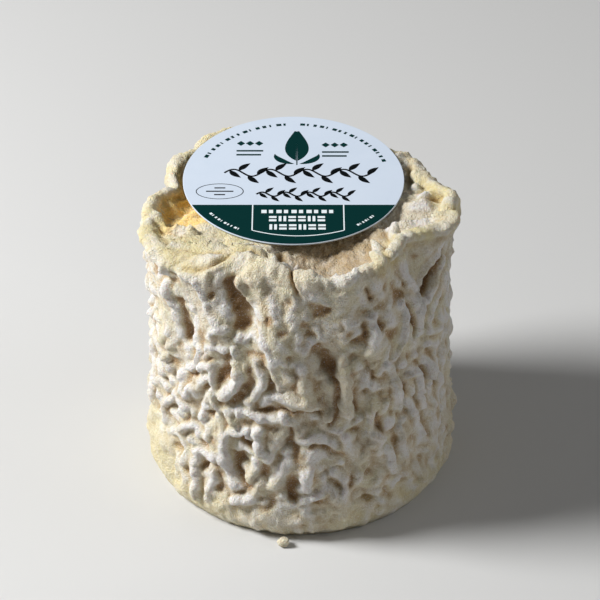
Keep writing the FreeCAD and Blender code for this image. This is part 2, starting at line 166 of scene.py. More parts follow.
# ---- single ridges and pits of the rind ----
# Each is (width, rise, point, point, ...), a point being (azimuth, climb).
RIDGES = [
    # the long bank right of the big hollow, and the arch under it
    (0.9, 1.2, (-115.4, 52.4), (-113.4, 51.2), (-111.5, 50.2), (-108.6, 48), (-106, 46.4), (-104, 44.4)),
    (0.9, 1.2, (-104, 44.4), (-102.2, 42.6), (-100.6, 40.8), (-99.6, 38.8)),
    (0.7, 0.8, (-114, 42), (-109.5, 42.8), (-106, 42.8), (-103, 41.6)),
    (1.5, 0.7, (-100.5, 50), (-99.5, 46.5), (-98.4, 43), (-97.6, 40)),
    # left bank of the hollow
    (0.45, 0.8, (-131.4, 53), (-129.6, 51.4), (-127.8, 49.8), (-126.4, 48)),
    (0.8, 0.7, (-126.4, 48), (-124.4, 46), (-121.6, 44.6), (-118, 44)),
    # worms of the middle
    (1.1, 1.1, (-106.5, 38.2), (-103.6, 36.5), (-103.2, 34), (-105, 32), (-107, 30.6), (-110, 29.3)),
    (1.1, 1.1, (-115, 40), (-114.6, 36.8), (-112.8, 34.5), (-114, 33), (-117, 31.5), (-118.6, 29.5)),
    (0.8, 0.9, (-124.5, 35.5), (-123.5, 31), (-122.4, 27.5), (-120.8, 23.5), (-119.6, 20)),
    (0.9, 1.1, (-119.6, 19.6), (-117.5, 21.5), (-114, 22.8), (-110, 23.3), (-107.6, 22)),
    (0.6, 0.8, (-121, 26.5), (-117.5, 26.6), (-115, 25.2), (-113, 23.5)),
    (0.9, 1.0, (-112.5, 26.8), (-108.5, 27.3), (-104.5, 26.6), (-100, 26.2), (-96.5, 26.2)),
    (1.3, 1.2, (-105.4, 24.2), (-105, 21.5), (-103.3, 19), (-100.6, 18.8), (-98.8, 21), (-96.4, 23.6)),
    (1.2, 1.2, (-95.4, 20), (-94.9, 17.8), (-97, 15.6), (-98.8, 13.6), (-101.5, 12.1), (-104, 12.6)),
    (1.0, 1.1, (-104.8, 12.2), (-106.2, 10.2), (-108.4, 8.7), (-111, 7.7), (-114, 7.6)),
    (0.7, 0.8, (-113.2, 18.1), (-110.3, 19), (-107.4, 19.2)),
    (1.0, 1.0, (-111.3, 14.8), (-108.6, 13), (-106.8, 15), (-106, 17.4)),
    (1.3, 1.1, (-119.6, 18.6), (-119.2, 16), (-117.4, 13.6), (-116.2, 11.4), (-113.6, 10.6)),
    (1.3, 1.2, (-84.6, 20), (-86.6, 17.5), (-87.8, 14.5), (-87.4, 12)),
    (0.8, 0.8, (-84.6, 19.8), (-82, 19), (-79.6, 18.3)),
    (0.9, 1.0, (-95.8, 28.3), (-93.2, 26), (-90.6, 24.4), (-91, 22.4)),
    (1.0, 1.0, (-90.6, 23), (-88, 22.3), (-85, 22.9), (-82, 22.6), (-78.6, 21.4)),
    (1.3, 1.2, (-103.4, 29.6), (-101, 31), (-97, 31.5), (-93, 31.6), (-89.5, 31.2), (-86, 30.2)),
    (1.1, 1.1, (-92.8, 39.3), (-90.4, 38.2), (-89, 36.2), (-88, 34), (-87.6, 32)),
    (0.9, 1.0, (-101.2, 38.6), (-99.2, 36.8), (-98, 34.9), (-97, 33.2)),
    (1.1, 0.8, (-98, 37.2), (-95.5, 37.6), (-93.5, 36.2)),
    (1.0, 0.9, (-83, 36), (-80, 35.4), (-78.6, 32.5), (-78, 29.5), (-79.6, 26.8)),
    (1.2, 1.1, (-74.6, 39.5), (-74, 36), (-73.5, 32), (-73.2, 28.4)),
    (0.6, 0.6, (-75, 44), (-73, 42.3), (-70, 41.3), (-66.8, 41.6)),
    (0.6, 0.6, (-73.6, 46), (-70.4, 45.8), (-67.6, 44.6)),
    (1.1, 1.0, (-64.8, 40.6), (-62.8, 42.3), (-62.4, 44.4), (-63.2, 46.8)),
    (0.9, 0.9, (-69.8, 38.6), (-67, 37.5), (-65.4, 35.4), (-64, 33.6), (-62, 32.4)),
    (0.8, 0.8, (-77.6, 24), (-75.4, 24)),
    (1.1, 1.0, (-72.6, 22.8), (-71, 20.6), (-69, 18.2), (-66.8, 16.2)),
    (1.0, 0.9, (-77.4, 15.2), (-74.8, 13.8), (-73.6, 11.8), (-74.8, 10.2)),
    # worms of the right side
    (1.0, 1.1, (-58, 36.3), (-55.2, 35.2), (-53.8, 32), (-52.2, 29.5), (-51, 27.2), (-51.4, 25.4)),
    (0.9, 0.9, (-48.2, 46), (-46.8, 43), (-47.2, 40.4), (-48.8, 38), (-51.4, 36.8), (-54.4, 36.8)),
    (0.9, 0.9, (-41, 45.5), (-38.4, 43), (-38.4, 40.5), (-40.4, 38)),
    (0.8, 0.9, (-44.4, 31), (-40.6, 30.6), (-39, 28.4), (-38.6, 26)),
    (0.8, 0.9, (-37.6, 32), (-34, 31), (-32, 29), (-31.4, 26.6)),
    (0.9, 0.9, (-46.4, 25.4), (-43.2, 23.4), (-41.4, 21.2)),
    (0.8, 0.8, (-39.4, 24.8), (-36.6, 23.2), (-34.8, 21.2)),
    (0.8, 0.8, (-40, 19.4), (-38.4, 17.2), (-36.6, 15.4)),
    (0.8, 0.8, (-50.6, 20), (-49.4, 17.2), (-48, 15), (-46.4, 12.8)),
    (0.9, 0.9, (-57, 18), (-55.4, 15.4), (-54, 12.4), (-50, 10.8)),
    (0.9, 0.9, (-63.2, 29), (-62.6, 26.4), (-62.2, 23.8), (-61.2, 21), (-58.6, 19.8)),
    (0.9, 0.8, (-68.4, 14), (-66, 11.8), (-62.6, 10.4)),
    (0.9, 0.8, (-42, 10.4), (-39.8, 8.2), (-37.8, 6)),
    (0.8, 0.9, (-46.4, 55), (-44.2, 52), (-43, 49.8), (-41, 48), (-38, 46.8)),
    # left side
    (1.0, 0.9, (-146, 53), (-146.4, 50.5), (-145.6, 48), (-143.6, 46)),
    (0.8, 0.8, (-134.6, 47.5), (-133, 44), (-132.8, 41), (-134.6, 38)),
    (0.9, 0.8, (-124.8, 41), (-123.2, 43.2), (-119.6, 43.6)),
    (0.9, 0.9, (-128.4, 37), (-126.4, 39), (-123, 39.4), (-119, 39.6)),
    (0.8, 0.9, (-131.4, 38), (-132.6, 35), (-135.6, 33.2), (-138.6, 32.2)),
    (0.8, 0.9, (-131.4, 33.4), (-128, 35), (-124.6, 35.4)),
    (1.1, 1.0, (-137, 27.4), (-134.4, 28.6), (-132.4, 27)),
    (0.8, 0.8, (-131, 29.4), (-128, 31.8), (-125, 32.4)),
    (0.9, 0.9, (-131, 22.6), (-128, 26.6), (-124.6, 28.4)),
    (0.9, 0.9, (-127, 21.4), (-124, 22), (-122.4, 24.6)),
    (0.9, 0.9, (-134, 12), (-131.8, 14.6), (-129, 15), (-124, 15), (-121.4, 16.6)),
    (1.1, 1.0, (-133.4, 11), (-131.4, 8.4), (-131.2, 5)),
    (1.0, 1.0, (-125.8, 12.6), (-123.6, 10.8), (-124.4, 7.6), (-125.6, 5.4)),
    (0.9, 0.9, (-141, 17.4), (-137.4, 19), (-133.6, 19.6), (-131.4, 18.6)),
    (0.9, 0.9, (-146, 15.6), (-141.6, 15.8), (-138.8, 13.8), (-138.8, 11)),
    (0.9, 0.9, (-146, 24), (-141, 24.4), (-137.6, 23.4)),
    # the rim: the hollows at its left and the fold between them
    (1.2, 0.7, (168, 56.4), (171, 58), (173, 60), (174, 62)),
    (0.6, 1.2, (-172, 56), (-169, 57), (-166, 58.4), (-163, 59.2), (-162, 60.6), (-160, 62), (-155, 64)),
    # its pillow at the front left, from the shoulder's edge to the inner lip
    (0.8, 0.7, (-168, 56), (-163, 55.2), (-156, 54.8), (-149, 54.6), (-142, 54.2), (-136, 53.8), (-131, 53)),
    (0.5, 0.6, (-154, 62.4), (-150, 60.2), (-146.6, 58)),
    (0.55, 1.1, (-149, 57.2), (-143, 58), (-137, 59), (-130, 60.4), (-123, 62), (-117, 63)),
    (0.7, 0.9, (-113, 61.6), (-109, 61.2), (-105.6, 60.4), (-103.4, 59), (-102.6, 57.2)),
    # the sunk front: a fold that stands across it, a mound, and the lip's low point
    (0.9, 1.0, (-92, 62.6), (-93, 60.6), (-95, 58.8), (-98, 57.8)),
    (2.0, 0.5, (-88.6, 56.4), (-86, 54.4), (-84, 51.6)),
    (0.6, 0.8, (-76, 56.4), (-72, 55.8), (-68, 56.2), (-66, 57.2), (-62, 57), (-56, 56.6), (-53, 57.2)),
    (1.1, 1.5, (-56, 56.8), (-50, 58.6), (-45, 61)),
    (0.6, 0.9, (-51, 55.6), (-44, 55.8), (-37, 55.6), (-30, 55.4), (-23, 55.2), (-16, 55.2), (-11, 55.6)),
    # the ledge at the right, its knot and the lobe beside it
    (0.8, 1.3, (-25, 63.6), (-28.6, 61.6), (-33.4, 59.2), (-38, 57.4)),
    (0.5, 1.2, (-19, 65), (-17.5, 62.8), (-15.5, 60.6), (-13.5, 58.4), (-12, 57)),
    (2.1, 1.5, (-3, 62.2), (-2.5, 60.6)),
    (0.7, 0.9, (5.5, 61.4), (8.5, 59.8), (9.4, 58.2), (8, 57), (2, 56.2), (-5, 56.2), (-12, 56.8)),
    (1.1, 1.0, (16, 59.6), (21, 58), (26, 57.2)),
    (1.2, 1.0, (30, 59.4), (36, 58), (41, 57.4)),
    (1.2, 0.8, (47, 59), (53, 58.4), (60, 58)),
    (0.9, 0.8, (66, 57.6), (80, 58.4), (96, 57.4)),
    (1.4, 0.7, (118, 58), (126, 58.6), (133, 58)),
    (1.3, 0.7, (140, 59), (147, 58), (153, 59.5)),
    # lips of the slanting cleft under the ledge
    (0.6, 0.7, (-36.6, 46), (-32.4, 48), (-28, 49), (-22.6, 50), (-17, 51.2)),
    (0.8, 0.9, (-37, 45.6), (-35, 44), (-32, 44.6), (-28, 46), (-23, 47.2), (-17, 48.4)),
    # small upright folds of the foot
    (1.1, 0.5, (-107, 5.6), (-107, 1)),
    (1.3, 0.5, (-103, 4.8), (-100.8, 4.6), (-100, 1)),
    (1.3, 0.5, (-97.4, 6), (-96.8, 1)),
    (1.0, 0.4, (-92, 6.6), (-91, 1)),
    (0.6, 0.7, (-87, 9.6), (-86.4, 7), (-85, 5.4), (-84.6, 2)),
    (0.9, 0.5, (-76.6, 9), (-75, 6), (-74.2, 2)),
    (0.9, 0.4, (-117.4, 5.6), (-116, 1)),
    (0.9, 0.4, (-66, 5), (-65, 1)),
]
# Each is (width, depth, point, point, ...).
PITS = [
    (1.4, 1.4, (-118.8, 52.4), (-115.6, 49.6), (-113.4, 47), (-113, 44.6)),
    (1.1, 1.4, (-139.8, 46.4), (-138.8, 44), (-138, 41.4), (-138, 39)),
    (1.0, 0.8, (-141.4, 37), (-142, 35.6)),
    (1.2, 1.1, (-127, 37.4), (-125, 36.6)),
    (1.2, 1.1, (-108.6, 39.4), (-105.6, 39.2), (-103.4, 37.6)),
    (1.3, 1.0, (-117.4, 37.8), (-118.4, 35.4), (-119.6, 33.2)),
    (1.0, 0.8, (-109, 36.6), (-108.6, 33.6), (-110.6, 31.8)),
    (1.2, 1.0, (-112.4, 29.8), (-115, 28.8)),
    (0.9, 0.9, (-100.4, 35.6), (-100, 33.6)),
    (0.9, 0.9, (-94, 40.4), (-92, 38.6), (-90.4, 36.8)),
    (0.6, 1.0, (-104.6, 27.9), (-100, 28.4), (-96.4, 29.4), (-92, 28.9), (-88, 28.5), (-83, 28.4)),
    (1.1, 1.0, (-110.8, 20.8), (-108.6, 20.6)),
    (1.4, 1.0, (-113.6, 16.2), (-113, 14), (-110.4, 11)),
    (1.2, 0.9, (-104, 16), (-103.6, 14.4)),
    (0.9, 0.9, (-102, 7), (-99.4, 8.4)),
    (1.2, 1.0, (-94.2, 12), (-92, 13.4), (-92.6, 10)),
    (0.8, 0.9, (-92.8, 25), (-92.6, 21), (-91.8, 18)),
    (0.8, 0.9, (-86, 20.9), (-82, 20.6), (-77, 19.6)),
    (0.6, 1.1, (-78.4, 38), (-77, 35), (-76.6, 31), (-76.6, 27.6), (-78.8, 25.2)),
    (1.3, 1.1, (-83.6, 41.6), (-80.6, 39.6), (-78.6, 37)),
    (1.0, 0.8, (-72.6, 43), (-69, 42.8)),
    (0.6, 1.0, (-67, 45.8), (-66.4, 43.6)),
    (0.6, 0.9, (-64.4, 52.4), (-63.2, 50.4)),
    (1.0, 1.0, (-61.6, 45.6), (-59, 44.4)),
    (0.9, 0.8, (-55.6, 41.6), (-54, 40.4)),
    (0.7, 1.0, (-43.4, 42.6), (-42, 40), (-41.4, 37.6)),
    (0.8, 0.9, (-69.4, 31), (-68.6, 28.4)),
    (0.9, 0.9, (-71, 13.4), (-71.4, 11.6)),
    (0.8, 0.8, (-69.4, 23.6), (-67.2, 22.8)),
    (0.8, 0.9, (-66, 38), (-64.4, 35.8), (-62.4, 33.6)),
    (0.9, 0.8, (-61, 25.6), (-60, 23)),
    (0.9, 0.8, (-57, 43), (-54, 41.6)),
    (0.8, 0.8, (-50.6, 30), (-48, 27.6)),
    (0.9, 0.8, (-45.4, 45), (-44.8, 41)),
    (0.9, 0.8, (-66.6, 12.8), (-63.6, 13.2)),
    (0.9, 0.7, (-83, 8.8), (-80, 8.8)),
    (1.0, 0.7, (-67, 8), (-64.4, 7)),
    (1.0, 0.7, (-56.6, 8.4), (-54, 6.4)),
    (0.6, 1.5, (-35.4, 45.4), (-31, 46.8), (-27, 47.7), (-22, 48.8), (-16.5, 50)),
    (1.3, 2.0, (-159, 53.2), (-152.6, 52.6), (-147.6, 51.2)),
    (0.4, 0.7, (-143, 53.4), (-139, 53.2)),
    (0.4, 0.9, (-137, 54.4), (-128, 55.2), (-122, 56.4), (-116, 57.8), (-110, 58.4)),
    (0.8, 0.6, (-125, 54), (-124.6, 50)),
    (2.2, 0.6, (163, 58.6), (167, 59.6), (170, 61)),
    (2.2, 0.6, (-179, 60.4), (-173, 61.4), (-170, 62)),
    (0.5, 0.9, (-156.4, 63), (-152.6, 60.8), (-148.6, 58.4)),
    (0.7, 1.2, (-143, 59.8), (-136, 61), (-129, 62.6), (-123, 64)),
    (1.6, 1.2, (-103, 64.5), (-99, 62.6), (-97, 60.8)),
    (0.5, 1.2, (-93.6, 56.6), (-92.6, 54.8), (-91, 53)),
    (0.5, 0.9, (-80.4, 58), (-79, 56.4)),
    (1.2, 0.8, (-88, 62), (-83, 61)),
    (1.0, 1.6, (5.6, 58.8), (3, 57.6)),
    (0.5, 0.9, (-13.5, 63.6), (-11, 60.8), (-9.4, 58.8)),
    (1.0, 0.8, (-24, 61), (-19, 60)),
    (1.2, 0.9, (-121.6, 8.6), (-119.4, 9.4)),
    (1.1, 0.9, (-129, 12.4), (-127, 12.8)),
    (1.0, 0.8, (-144, 13), (-141, 13.6)),
    (0.9, 0.8, (-130.4, 18), (-127.4, 17)),
    (0.9, 0.8, (-136.6, 10.6), (-135.4, 10)),
    (0.7, 0.9, (-138, 31.2), (-133, 32.4)),
    (0.8, 0.8, (-128, 24), (-124.6, 24.4)),
    (0.8, 0.8, (-128, 29.8), (-125.4, 30.4)),
]


# ---- map tools ----
def map_grid():
    """Azimuth and climb of every point of the map."""
    azimuths = np.arange(MAP_WIDTH) * 360.0 / MAP_WIDTH - 180.0
    climbs = MAP_LOW + (np.arange(MAP_HEIGHT) + 0.5) * STEP
    return np.meshgrid(azimuths, climbs)


def ease(low, high, x):
    """0 below low, 1 above high, smooth between."""
    t = np.clip((x - low) / (high - low), 0.0, 1.0)
    return t * t * (3 - 2 * t)


def wave_numbers():
    across = 2 * math.pi * np.fft.rfftfreq(MAP_WIDTH, STEP)
    upwards = 2 * math.pi * np.fft.fftfreq(MAP_HEIGHT, STEP)
    return np.meshgrid(across, upwards)


def blur(field, reach):
    """Gaussian blur of a map, reach in millimetres."""
    across, upwards = wave_numbers()
    keep = np.exp(-0.5 * (across**2 + upwards**2) * reach**2)
    return np.fft.irfft2(np.fft.rfft2(field) * keep, field.shape)


def clouds(rng, size, roughness=1.0):
    """Seeded noise whose lumps are about that size, with a spread of 1."""
    fine = blur(rng.standard_normal((MAP_HEIGHT, MAP_WIDTH)), size / 3)
    coarse = blur(rng.standard_normal((MAP_HEIGHT, MAP_WIDTH)), size)
    lumps = roughness * fine / fine.std() + coarse / coarse.std()
    return lumps / lumps.std()


def along(points):
    """Close points of a smooth line through the given ones, on the map, in millimetres."""
    knots = np.array([(azimuth * MM_PER_DEGREE, climb) for azimuth, climb in points], float)
    padded = np.vstack([2 * knots[0] - knots[1], knots, 2 * knots[-1] - knots[-2]])
    line = []
    for a, b, c, d in zip(padded, padded[1:], padded[2:], padded[3:]):
        count = max(2, int(np.linalg.norm(c - b) / 0.3))
        for t in np.arange(count) / count:
            line.append(0.5 * (2 * b + (c - a) * t + (2 * a - 5 * b + 4 * c - d) * t**2
                               + (3 * b - a - 3 * c + d) * t**3))
    line.append(knots[-1])
    return line


def drawn(lines, spread=1.0, sharpness=1.0):
    """A map with a stroke along every line: its height on the line, fading over its width."""
    field = np.zeros((MAP_HEIGHT, MAP_WIDTH))
    for width, height, *points in lines:
        width = width * spread
        half = int(3 * width / STEP) + 1
        for x, climb in along(points):
            column = int(round((x + HALF_WAY_ROUND) / STEP))
            row = int(round((climb - MAP_LOW) / STEP))
            rows = np.arange(max(0, row - half), min(MAP_HEIGHT, row + half))
            columns = np.arange(column - half, column + half)
            up = (MAP_LOW + (rows + 0.5) * STEP - climb)[:, None]
            over = (columns * STEP - HALF_WAY_ROUND - x)[None, :]
            stroke = height * np.exp(-((up**2 + over**2) / width**2) ** sharpness)
            spot = np.ix_(rows, columns % MAP_WIDTH)
            field[spot] = np.maximum(field[spot], stroke)
    return field


def grow(rng, pitch, squash, skew, steps, aim, grip):
    """A field of winding ridges of that pitch, which settles out of noise and follows aim where grip is 1.

    squash sets them closer up the side than round it, and skew makes them narrower than the valleys.
    """
    across, upwards = wave_numbers()
    level = (across**2 + (upwards / squash) ** 2) * (pitch / (2 * math.pi)) ** 2
    growth = 0.45 - (1 - level) ** 2
    pace = 0.3
    field = 0.25 * rng.standard_normal(aim.shape)
    for _ in range(steps):
        push = skew * field**2 - field**3 + 1.6 * grip * (aim - field)
        wave = np.fft.rfft2(field + pace * push)
        field = np.fft.irfft2(wave / (1 - pace * growth), aim.shape)
    return field


def sample(field, azimuths, climbs):
    """Values of a map at the given azimuths and climbs."""
    x = (azimuths + 180.0) / 360.0 * MAP_WIDTH
    y = np.clip((climbs - MAP_LOW) / STEP - 0.5, 0, MAP_HEIGHT - 1.001)
    left = np.floor(x).astype(int)
    low = np.floor(y).astype(int)
    across, up = x - left, y - low
    left, right = left % MAP_WIDTH, (left + 1) % MAP_WIDTH
    under = field[low, left] * (1 - across) + field[low, right] * across
    over = field[low + 1, left] * (1 - across) + field[low + 1, right] * across
    return under * (1 - up) + over * up


def polar(length, turn):
    return length * math.cos(turn), length * math.sin(turn)


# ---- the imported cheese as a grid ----
def seat_reach(outwards):
    """Distance from the axis to the seat's edge in a direction of the plan."""
    centre = np.array((LABEL_CENTRE.x, LABEL_CENTRE.y))
    away = centre @ outwards
    return away + math.sqrt(away**2 + SEAT_RADIUS**2 - centre @ centre)


def evenly(points, count, last):
    """Points evenly along a polyline, with or without its last one, and how far along they lie."""
    lengths = np.concatenate([[0], np.cumsum(np.linalg.norm(np.diff(points, axis=0), axis=1))])
    where = np.linspace(0, lengths[-1], count if last else count + 1)[:count]
    spread = np.column_stack([np.interp(where, lengths, points[:, k]) for k in range(points.shape[1])])
    return spread, where


def measured(tree, azimuth):
    """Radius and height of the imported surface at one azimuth: up the side, and over the rim to the seat."""
    outwards = np.array(polar(1, math.radians(azimuth)))

    def hit(radius, height, direction):
        start = Vector((*(radius * outwards), height)) * MM
        return tree.ray_cast(start, Vector(direction))[0]

    def from_outside(height):
        spot = hit(OUTSIDE, height, (*-outwards, 0))
        return math.hypot(spot.x, spot.y) / MM

    def from_above(radius):
        spot = hit(radius, ABOVE, (0, 0, -1))
        return 0 if spot is None else spot.z / MM

    edge = seat_reach(outwards)
    radii = np.append(np.arange(BEYOND_RIM, edge, -0.2), edge)
    over = np.array([(radius, from_above(radius)) for radius in radii])
    over = over[over[:, 1] > 0.85 * CREST]
    over = over[over[:, 0] < over[0, 0] - ROUNDING]
    heights = np.linspace(0.3, over[0, 1] - 0.1, SIDE_SAMPLES)
    side = np.array([(from_outside(height), height) for height in heights])
    return side, over


def steadied(values, axis):
    """Every value drawn towards its two neighbours round the cheese."""
    return (np.roll(values, 1, axis) + 2 * values + np.roll(values, -1, axis)) / 4


def crest_radii(profiles):
    """Radius of the rim's crest at every azimuth, steadied so that it doesn't jump on a wide flat lip."""
    radii = []
    for _, over in profiles:
        near = over[over[:, 0] > over[0, 0] - WIDEST_LIP]
        radii.append(near[near[:, 1].argmax(), 0])
    radii = np.array(radii)
    for _ in range(12):
        radii = steadied(radii, 0)
    return radii


def grid_column(side, over, crest_radius):
    """Radius and height of the grid's rows at one azimuth, with their climbs."""
    crest_height = np.interp(-crest_radius, -over[:, 0], over[:, 1])
    crest = np.array([[crest_radius, crest_height]])
    outside = np.vstack([side, over[over[:, 0] > crest_radius + 0.05], crest])
    inside = np.vstack([crest, over[over[:, 0] < crest_radius - 0.05]])
    side_rows, _ = evenly(outside, SIDE_ROWS, False)
    top_rows, gone = evenly(inside, TOP_ROWS, True)
    climbs = np.concatenate([CREST * side_rows[:, 1] / crest_height, CREST + gone])
    return np.vstack([side_rows, top_rows]), climbs


def cheese_grid():
    """Points (rows, columns, 3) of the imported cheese, with the azimuth and climb of each."""
    tree = BVHTree.FromObject(frame["nodes"]["cheese"], bpy.context.evaluated_depsgraph_get())
    azimuths = np.arange(AROUND) * 360.0 / AROUND - 180.0
    profiles = [measured(tree, azimuth) for azimuth in azimuths]
    points = np.zeros((SIDE_ROWS + TOP_ROWS, AROUND, 3))
    climbs = np.zeros((SIDE_ROWS + TOP_ROWS, AROUND))
    for column, crest_radius in enumerate(crest_radii(profiles)):
        rows, climbs[:, column] = grid_column(*profiles[column], crest_radius)
        x, y = polar(rows[:, 0], math.radians(azimuths[column]))
        points[:, column] = np.column_stack([x, y, rows[:, 1]])
    for _ in range(2):
        points = steadied(points, 1)
        points[1:-1] = (points[:-2] + 2 * points[1:-1] + points[2:]) / 4
        climbs = steadied(climbs, 1)
    return points, np.broadcast_to(azimuths, climbs.shape), climbs


# ---- the rind's relief ----
def between(x, low, high, soft):
    """1 from low to high, fading over soft on both sides."""
    return ease(low - soft, low + soft, x) * (1 - ease(high - soft, high + soft, x))


def warped(rng, field, size, reach):
    """The map pulled about by lumps of that size, by about reach, so that no ridge keeps an even width."""
    azimuths, climbs = map_grid()
    across = reach * clouds(rng, size)
    up = reach * clouds(rng, size)
    return sample(field, azimuths + across / MM_PER_DEGREE, climbs + up)


def creases(rng, size):
    """Thin winding crests between rounded hollows, from 0 to 1."""
    return np.clip(1 - np.abs(clouds(rng, size, 0.4)), 0, 1) ** 2


def strongest(zones, azimuths, climbs, falling=False):
    """The largest share that a table's zones give each point, where each rises or falls over its fade."""
    shares = []
    for share, zone, fade in zones:
        risen = ease(*fade, climbs)
        shares.append(share * between(azimuths, *zone) * (1 - risen if falling else risen))
    return np.max(shares, axis=0)


def wrinkles(rng, aim, grip):
    """The winding wrinkles that fill the rind and follow aim where grip is 1, and the nubs on them."""
    steps = GROWTH_STEPS
    worms = grow(rng, WORM_PITCH, squash=1.25, skew=0.5, steps=steps, aim=aim, grip=grip)
    worms = worms + 0.4 * np.clip(worms, 0, 2) ** 2 - 0.12
    worms = warped(rng, worms, size=4.0, reach=0.8)
    nubs = grow(rng, NUB_PITCH, squash=1.1, skew=0.3, steps=steps, aim=0 * aim, grip=0 * grip)
    return worms, nubs


def freedom(rng, azimuths, climbs, calm, smooth_foot):
    """How freely the wrinkles stand out: less at the back, near the floor and on smooth or calm skin."""
    turned_away = 1 - between(azimuths, *FRONT)
    patchy = np.clip(0.9 + 0.25 * clouds(rng, 6), 0.4, 1.35) * (1 - 0.3 * turned_away)
    patchy *= 0.15 + 0.85 * ease(2, 9, climbs)
    return patchy * (1 - 0.85 * calm) * (1 - 0.85 * smooth_foot)


def rim_forms(rng, azimuths, climbs, side, pillow):
    """The low lip along the crest, the dip behind it, and the pillow at the front left."""
    lip = np.exp(-(((climbs - CREST + 0.3) / 0.9) ** 2))
    behind = np.exp(-(((climbs - CREST - 2.2) / 1.3) ** 2))
    ruffle = clouds(rng, 2.6) * side
    left_rim = np.maximum(*(between(azimuths, *zone) for zone in LEFT_RIM))
    raised = lip * (0.2 * (1 - left_rim) + 0.1 * ruffle)
    dipped = behind * (0.35 + 0.12 * ruffle) * (1 - pillow)
    return raised - dipped + 1.3 * pillow


def yellowness(rng, azimuths, climbs, pillow):
    """Share of yellow rind: along the rim, least at its pale part, on the pillow and above the floor."""
    rim = ease(CREST - 3.5, CREST - 1, climbs) * (1 - ease(CREST + 1.5, CREST + 4.5, climbs))
    rim *= 1 - 0.75 * between(azimuths, *PALE_RIM)
    low = 1 - ease(4, 10, climbs)
    patches = 0.75 + 0.3 * clouds(rng, 3)
    return np.clip((rim + 0.6 * low) * patches + 0.7 * pillow, 0, 1)


def relief():
    """Maps of the rind: height in millimetres, and what its colours follow."""
    rng, fine_rng = np.random.default_rng(SEED), np.random.default_rng(SEED + 2)
    azimuths, climbs = map_grid()
    side = 1 - ease(*UPPER_RIND, climbs)
    smooth_foot = strongest(SMOOTH_FOOT, azimuths, climbs, falling=True)
    calm = strongest(CALM, azimuths, climbs)
    pillow = between(azimuths, *PILLOW) * ease(CREST + 1, CREST + 3.5, climbs)

    # single ridges and pits, and the ground that they hold the wrinkles to
    ridges, pits = drawn(RIDGES, spread=0.82, sharpness=1.2), drawn(PITS)
    grip = np.clip(np.maximum(drawn(RIDGES, spread=1.3), drawn(PITS, spread=1.3)), 0, 1) ** 0.7
    bold = np.maximum(ease(48, 54, climbs), between(azimuths, *RIGHT_SIDE))
    strokes = (1.12 + 0.35 * bold) * ridges - (0.75 + 0.4 * bold) * pits
    worms, nubs = wrinkles(rng, np.clip(strokes - 0.3 * grip, -1.0, 1.0), grip)

    free = freedom(rng, azimuths, climbs, calm, smooth_foot)
    uneven = np.clip(1 + 0.22 * clouds(rng, 2.4), 0.4, 1.5)
    height = WORM_HEIGHT * free * worms * (1 - grip) + (uneven * strokes - VALLEY * free) * grip
    height = warped(rng, height, size=1.4, reach=0.24 * side)
    broad, fine = CREASE_HEIGHTS
    small = NUB_HEIGHT * nubs + broad * creases(rng, 2.4) + fine * creases(fine_rng, 1.3)
    height += free * small * (1 - 0.5 * np.clip(ridges, 0, 1))
    dimples = np.clip(clouds(rng, 1.7) - 0.5, 0, 1.5) * calm * side
    height -= 0.3 * dimples
    height -= SETTLE * side * ease(2, 8, climbs)
    height += rim_forms(rng, azimuths, climbs, side, pillow)

    # grain
    height += 0.08 * side * (1 - 0.4 * smooth_foot) * clouds(rng, 1.5)
    height += side * (0.6 + 0.4 * calm) * (0.08 * clouds(rng, 0.8) + 0.07 * clouds(rng, 0.45))

    hollow = blur(height, 1.3) - blur(height, 0.3)
    return {
        "height": height,
        "cavity": np.clip(0.5 + 0.75 * hollow + 0.3 * dimples, 0, 1),
        "pit": np.clip(drawn(PITS, spread=1.15), 0, 1),
        "foot": smooth_foot,
        "yellow": yellowness(rng, azimuths, climbs, pillow),
        "bloom": np.clip(0.5 + 0.3 * clouds(rng, 4), 0, 1),
        "green": np.clip(0.5 + 0.3 * clouds(rng, 2.6), 0, 1),
    }


def upper_unevenness(points, climbs):
    """Fine relief of the rim, taken in space: on its flat lip the map would be stretched."""
    share = ease(*UPPER_RIND, climbs)
    lift = np.zeros(climbs.shape)
    shift = Vector((SEED, 0, 0))
    for row, column in zip(*np.nonzero(share > 0)):
        place = Vector(points[row, column]) + shift
        folds = sum(high * max(0.0, 1 - 3 * abs(noise.noise(place / size))) for high, size in RIM_FOLDS)
        lumps = sum(high * noise.noise(place / size) for high, size in RIM_LUMPS)
        lift[row, column] = folds + lumps
    return share * lift


def unit(vectors):
    return vectors / np.linalg.norm(vectors, axis=2, keepdims=True)


def rind_points(points, azimuths, climbs, height):
    """The grid moved out by the relief. Ridges also lean out sideways over the valleys between them."""
    around = np.roll(points, -1, 1) - np.roll(points, 1, 1)
    upwards = np.gradient(points, axis=0)
    outwards = unit(np.cross(around, upwards))
    around, upwards = unit(around), unit(upwards)
    rise = sample(height, azimuths, climbs) + upper_unevenness(points, climbs)
    lean_up, lean_around = np.gradient(blur(height, 0.35), STEP)
    moved = points + rise[..., None] * outwards
    moved -= BULGE * sample(lean_around, azimuths, climbs)[..., None] * around
    moved -= BULGE * sample(lean_up, azimuths, climbs)[..., None] * upwards
    moved[..., 2] = np.maximum(moved[..., 2], 0.25 * ease(0, 1.2, climbs))
    moved[0, :, 2] = 0
    return moved


def label_height(y):
    """Height of the label's underside that far back. It leans only from back to front."""
    return LABEL_CENTRE.z - LABEL_THICKNESS / 2 + (y - LABEL_CENTRE.y) * math.tan(LABEL_LEAN)


